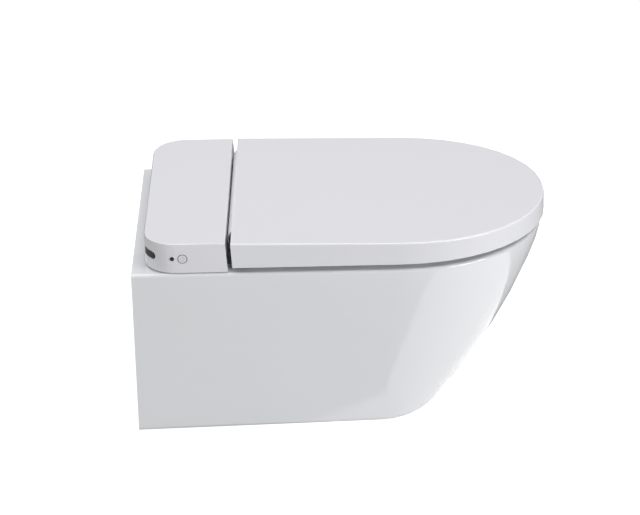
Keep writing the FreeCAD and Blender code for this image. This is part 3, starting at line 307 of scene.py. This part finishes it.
def bodyOf(node):
    for body, names in frame["record"]["behaviour"]["bodies"].items():
        if node in names:
            return body


def finishedCopy(node, look):
    shape = mergedShape(node)
    bmesh.ops.dissolve_limit(shape, angle_limit=merging["flatAngle"], verts=shape.verts, edges=shape.edges)
    sharpAngle = math.radians(look.get("sharp", merging["sharpAngle"]))
    if "edge" in look:
        edges = [edge for edge in shape.edges if len(edge.link_faces) == 2 and edge.is_convex
                 and edge.calc_face_angle() > sharpAngle]
        bmesh.ops.bevel(shape, geom=edges, offset=look["edge"], offset_type="OFFSET",
                        segments=merging["bevelSegments"], profile=0.5, affect="EDGES", material=-1,
                        clamp_overlap=False)
    smoothShape(shape, sharpAngle)
    name = node + "Finished"
    return addPiece(name, meshFrom(shape, name), look["finish"], bodyOf(node), [node])


def joinedCopy(name, nodes, look):
    scene = bpy.context.scene
    parts = []
    for node in nodes:
        part = bpy.data.objects.new(node + "Part", meshFrom(mergedShape(node), node + "Part"))
        scene.collection.objects.link(part)
        parts.append(part)
    for part in parts[1:]:
        join = parts[0].modifiers.new(part.name, "BOOLEAN")
        join.operation = "UNION"
        join.solver = "EXACT"
        join.object = part
    whole = bpy.data.meshes.new_from_object(parts[0].evaluated_get(bpy.context.evaluated_depsgraph_get()))
    for part in parts:
        bpy.data.objects.remove(part)
    shape = bmesh.new()
    shape.from_mesh(whole)
    bmesh.ops.remove_doubles(shape, verts=shape.verts, dist=merging["distance"])
    bmesh.ops.dissolve_limit(shape, angle_limit=merging["flatAngle"], verts=shape.verts, edges=shape.edges)
    smoothShape(shape, math.radians(look["sharp"]))
    return addPiece(name, meshFrom(shape, name), look["finish"], bodyOf(nodes[0]), nodes)


# the four ceramic nodes are one casting, so they get one skin
joinedCopy("glazedPan", ["pan", "pan_bowl", "trapway", "flush_inlet"], {"finish": "glazedChina", "sharp": 60})
print("ceramic joined")

carried = {
    "wall_fixing_barrels": {"finish": "mouldedGlassNylon", "sharp": 40},
    "clamp_screws": {"finish": "zincPlatedSteel", "sharp": 50},
    "mounting_plate": {"finish": "mouldedGlassNylon"},
    "plate_bolts": {"finish": "zincPlatedSteel", "sharp": 50},
    "plate_bushes": {"finish": "mouldedSilicone", "sharp": 50},
    "base_tray": {"finish": "mouldedGlossAbs"},
    "cover_screws": {"finish": "zincPlatedSteel", "sharp": 50},
    "top_cover": {"finish": "mouldedGlossAbs", "edge": 0.35 * mm},
    # the hinge blocks take a dark grey that is painted shade for the gap behind the lid
    "hinge_bracket_right": {"finish": "paintedShadeNylon", "edge": 0.3 * mm},
    "hinge_bracket_left": {"finish": "paintedShadeNylon", "edge": 0.3 * mm},
    "bracket_screws": {"finish": "zincPlatedSteel", "sharp": 50},
    "nozzle_guide": {"finish": "mouldedAcetal", "edge": 0.3 * mm},
    "nozzle_arm": {"finish": "mouldedGlossAbs"},
    "nozzle_tip": {"finish": "mouldedGlossAbs", "sharp": 50},
    "nozzle_shield": {"finish": "mouldedGlossAbs", "edge": 0.8 * mm},
    "drive_pinion": {"finish": "mouldedAcetal", "sharp": 40},
    "drive_motor": {"finish": "zincPlatedSteel", "sharp": 40},
    "flow_heater": {"finish": "mouldedAcetal"},
    "inlet_valve": {"finish": "mouldedAcetal", "sharp": 50},
    "pump": {"finish": "mouldedBlackPhenolic", "sharp": 50},
    "supply_hose": {"finish": "extrudedSilicone"},
    "pump_hose": {"finish": "extrudedSilicone"},
    "nozzle_hose": {"finish": "extrudedSilicone"},
    "control_board": {"finish": "screenedSolderMask"},
    "board_parts": {"finish": "mouldedBlackPhenolic"},
    "board_posts": {"finish": "mouldedAcetal"},
    "ir_window": {"finish": "mouldedSmokedPolycarbonate", "edge": 0.3 * mm},
    "release_button": {"finish": "mouldedGlossAbs", "edge": 0.4 * mm},
    "latch_bar": {"finish": "mouldedGlassNylon"},
    "seat_top": {"finish": "pressedUrea", "edge": 0.3 * mm},
    "seat_base": {"finish": "pressedUrea"},
    "heating_foil": {"finish": "etchedFoil"},
    "lid_shell": {"finish": "mouldedGlossAbs", "edge": 0.5 * mm},
    "lid_panel": {"finish": "mouldedGlossAbs"},
}

for node, look in carried.items():
    finishedCopy(node, look)
print("pieces finished", len(carried))


# rounded lip along the lid's rear edge, about the hinge line: it fills most of the gap with the lid down
lidLip = {"radius": 14.85, "thickness": 1.8, "topAngle": 52, "footAngle": -20, "halfLength": 143.5,
          "steps": 18, "sharp": 30}


def hingeLine():
    joint = next(joint for joint in frame["record"]["behaviour"]["joints"] if joint["name"] == "lid_hinge")
    return Vector(joint["pos_m"])


def lipShape(size):
    shape = bmesh.new()
    middle = hingeLine()
    outline = []
    for radius, order in ((size["radius"], 1), (size["radius"] - size["thickness"], -1)):
        turn = [math.radians(size["topAngle"] + (size["footAngle"] - size["topAngle"]) * step / size["steps"])
                for step in range(size["steps"] + 1)]
        outline += [(middle.y + radius * mm * math.cos(angle), middle.z + radius * mm * math.sin(angle))
                    for angle in turn[::order]]
    end = size["halfLength"] * mm
    face = shape.faces.new([shape.verts.new((-end, y, z)) for y, z in outline])
    grown = bmesh.ops.extrude_face_region(shape, geom=[face])["geom"]
    bmesh.ops.translate(shape, verts=[item for item in grown if isinstance(item, bmesh.types.BMVert)],
                        vec=(2 * end, 0, 0))
    bmesh.ops.recalc_face_normals(shape, faces=shape.faces)
    smoothShape(shape, math.radians(size["sharp"]))
    return shape


addPiece("lidRearLip", meshFrom(lipShape(lidLip), "lidRearLip"), "mouldedGlossAbs", "lid")
print("lid lip ready")


# round pieces, turned from a profile of (radius, distance along the axis) in millimetres

turning = {"mergeDistance": 0.001 * mm, "sharpAngle": math.radians(35)}
towardsFarSide = (1, 0, 0)
upward = (0, 0, 1)


def turned(name, profile, places, axis, look, body, nodes=()):
    shape = bmesh.new()
    verts = [shape.verts.new((radius * mm, 0, along * mm)) for radius, along in profile]
    edges = [shape.edges.new(pair) for pair in zip(verts, verts[1:])]
    bmesh.ops.spin(shape, geom=verts + edges, axis=(0, 0, 1), cent=(0, 0, 0), angle=2 * math.pi,
                   steps=look["steps"], use_merge=True)
    bmesh.ops.remove_doubles(shape, verts=shape.verts, dist=turning["mergeDistance"])
    turn = Vector(axis).to_track_quat("Z", "Y").to_matrix().to_4x4()
    first = list(shape.verts) + list(shape.edges) + list(shape.faces)
    copies = [bmesh.ops.duplicate(shape, geom=first)["geom"] for place in places[1:]]
    for geom, place in zip([first] + copies, places):
        verts = [item for item in geom if isinstance(item, bmesh.types.BMVert)]
        bmesh.ops.transform(shape, matrix=Matrix.Translation(place) @ turn, verts=verts)
    bmesh.ops.recalc_face_normals(shape, faces=shape.faces)
    smoothShape(shape, turning["sharpAngle"])
    return addPiece(name, meshFrom(shape, name), look["finish"], body, nodes)


def boxCorners(node):
    low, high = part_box(node)
    return Vector(low), Vector(high)


def nearEnd(low, high):
    return Vector((low.x, (low.y + high.y) / 2, (low.z + high.z) / 2))


def foot(low, high):
    return Vector(((low.x + high.x) / 2, (low.y + high.y) / 2, low.z))


# power button: a white cap with a shallow dish and a small ring printed in its middle
button = {"radius": 5.6, "dish": 0.12, "dishRadius": 2.8, "dishSlope": 0.084, "rimWidth": 1.4,
          "rimDrop": 0.02, "edge": 0.3, "edgeBreak": (0.08, 0.1), "depth": 7.2, "stemRadius": 2,
          "finish": "mouldedGlossAbs", "steps": 64}
low, high = boxCorners("power_button")
buttonLength = (high.x - low.x) / mm
radius, depth, stem = button["radius"], button["depth"], button["stemRadius"]
breakIn, breakDown = button["edgeBreak"]
turned("powerButtonCap",
       [(0, button["dish"]), (button["dishRadius"], button["dishSlope"]),
        (radius - button["rimWidth"], button["rimDrop"]), (radius - button["edge"], 0),
        (radius - breakIn, breakDown), (radius, button["edge"]), (radius, depth), (stem, depth),
        (stem, buttonLength), (0, buttonLength)],
       [nearEnd(low, high)], towardsFarSide, button, "power_button", ["power_button"])

mark = {"inner": 2.25, "outer": 2.75, "front": 0.03, "back": 0.09, "finish": "satinPaintedAbs", "steps": 48}
turned("powerButtonMark",
       [(mark["inner"], mark["back"]), (mark["inner"], mark["front"]), (mark["outer"], mark["front"]),
        (mark["outer"], mark["back"])],
       [nearEnd(low, high)], towardsFarSide, mark, "power_button")

# thin grey ring round the button
ring = {"inner": 5.95, "outer": 6.85, "depth": 4.3, "edge": 0.15, "finish": "satinPaintedAbs", "steps": 64}
inner, outer, edge, depth = ring["inner"], ring["outer"], ring["edge"], ring["depth"]
turned("buttonRing",
       [(inner, depth), (inner, edge), (inner + edge, 0), (outer - edge, 0), (outer, edge), (outer, depth),
        (inner, depth)],
       [nearEnd(*boxCorners("button_bezel"))], towardsFarSide, ring, "unit", ["button_bezel"])

# dark domed lens of the status lamp
lens = {"radius": 2.9, "dome": 0.35, "domeSteps": 8, "depth": 6.0, "finish": "mouldedSmokedPolycarbonate",
        "steps": 32}
domeAngles = [math.pi / 2 * step / lens["domeSteps"] for step in range(1, lens["domeSteps"] + 1)]
dome = [(lens["radius"] * math.sin(angle), lens["dome"] * (1 - math.cos(angle))) for angle in domeAngles]
turned("statusLens",
       [(0, 0)] + dome + [(lens["radius"], lens["depth"]), (0, lens["depth"])],
       [nearEnd(*boxCorners("status_led"))], towardsFarSide, lens, "unit", ["status_led"])
print("controls ready")


def islandCorners(node):
    shape = mergedShape(node)
    left = set(shape.verts)
    corners = []
    while left:
        group, front = set(), [left.pop()]
        while front:
            vert = front.pop()
            group.add(vert)
            near = [edge.other_vert(vert) for edge in vert.link_edges]
            front += [other for other in near if other in left]
            left.difference_update(near)
        low = Vector([min(vert.co[axis] for vert in group) for axis in range(3)])
        high = Vector([max(vert.co[axis] for vert in group) for axis in range(3)])
        corners.append((low, high))
    shape.free()
    return corners


# soft pads between seat, lid and ceramic, with a rounded foot
pads = {
    "seat_buffers": {"topRadius": 9.0, "footRadius": 8.0, "edge": 1.2, "body": "seat"},
    "lid_buffers": {"topRadius": 8.0, "footRadius": 8.0, "edge": 1.2, "body": "lid"},
    "tray_pads": {"topRadius": 8.0, "footRadius": 7.0, "edge": 0.6, "body": "unit"},
}
padLook = {"finish": "mouldedSilicone", "steps": 40, "edgeShare": 0.3}

for node, pad in pads.items():
    corners = islandCorners(node)
    tall = min(high.z - low.z for low, high in corners) / mm
    footRadius, edge, share = pad["footRadius"], pad["edge"], padLook["edgeShare"]
    turned(node + "Turned",
           [(0, 0), (footRadius - edge, 0), (footRadius - edge * share, edge * share), (footRadius, edge),
            (pad["topRadius"], tall), (0, tall)],
           [foot(low, high) for low, high in corners], upward, padLook, pad["body"], [node])

# hinge pins and dampers: plated rods with a chamfer at each end
rods = {
    "hinge_pins": {"name": "hingePinsTurned", "radius": 3.0, "edge": 0.5, "body": "unit"},
    "hinge_dampers": {"name": "hingeDampersTurned", "radius": 5.4, "edge": 0.8, "body": "seat"},
}
rodLook = {"finish": "zincPlatedSteel", "steps": 40}

for node, rod in rods.items():
    corners = islandCorners(node)
    low, high = corners[0]
    length = (high.x - low.x) / mm
    radius, edge = rod["radius"], rod["edge"]
    turned(rod["name"],
           [(0, 0), (radius - edge, 0), (radius, edge), (radius, length - edge), (radius - edge, length),
            (0, length)],
           [nearEnd(low, high) for low, high in corners], towardsFarSide, rodLook, rod["body"], [node])


# supply fittings under the tray, with their threads as fine rings
def threadProfile(radius, depth, pitch, start, end):
    points = []
    for turn in range(int((end - start) / pitch)):
        points += [(radius - depth, start + pitch * turn), (radius, start + pitch * (turn + 0.5))]
    return points + [(radius - depth, end)]


inlet = {"thread": 8.3, "threadDepth": 0.6, "pitch": 1.34, "threadStart": 0.6, "threadRunOut": 1.0,
         "mouth": 0.7, "bore": 5.5, "boreEdge": 0.4, "boreDepth": 15, "collar": 9.9, "collarFoot": 5.0,
         "collarHeight": 2.4, "collarStep": 2.5, "finish": "turnedBrass", "steps": 48}
low, high = boxCorners("water_inlet")
tall = (high.z - low.z) / mm
collarFoot = tall - inlet["collarFoot"]
bore, boreEdge, thread = inlet["bore"], inlet["boreEdge"], inlet["thread"]
turned("waterInletTurned",
       [(0, inlet["boreDepth"]), (bore, inlet["boreDepth"]), (bore, boreEdge), (bore + boreEdge, 0),
        (thread - inlet["mouth"], 0)]
       + threadProfile(thread, inlet["threadDepth"], inlet["pitch"], inlet["threadStart"],
                       collarFoot - inlet["threadRunOut"])
       + [(inlet["collar"], collarFoot), (inlet["collar"], collarFoot + inlet["collarHeight"]),
          (thread, collarFoot + inlet["collarStep"]), (thread, tall), (0, tall)],
       [foot(low, high)], upward, inlet, "unit", ["water_inlet"])

gland = {"stem": 8.2, "threadDepth": 0.6, "pitch": 1.5, "threadStart": 5.5, "threadEnd": 10.5, "bore": 3.8,
         "boreEdge": 0.5, "nose": ((1.6, 0), (0.6, 1.0), (0, 2.5), (0, 5.0)), "collar": 9.9,
         "nut": (11.0, 15.4), "waist": (15.5, 18.0), "flangeFoot": 18.1, "finish": "mouldedGlassNylon",
         "steps": 48}
low, high = boxCorners("power_gland")
tall = (high.z - low.z) / mm
bore, boreEdge, stem, collar = gland["bore"], gland["boreEdge"], gland["stem"], gland["collar"]
turned("powerGlandTurned",
       [(bore, tall), (bore, boreEdge), (bore + boreEdge, 0)]
       + [(stem - back, along) for back, along in gland["nose"]]
       + threadProfile(stem, gland["threadDepth"], gland["pitch"], gland["threadStart"], gland["threadEnd"])
       + [(collar, along) for along in gland["nut"]] + [(stem, along) for along in gland["waist"]]
       + [(collar, gland["flangeFoot"]), (collar, tall), (bore, tall)],
       [foot(low, high)], upward, gland, "unit", ["power_gland"])
print("turned pieces ready")
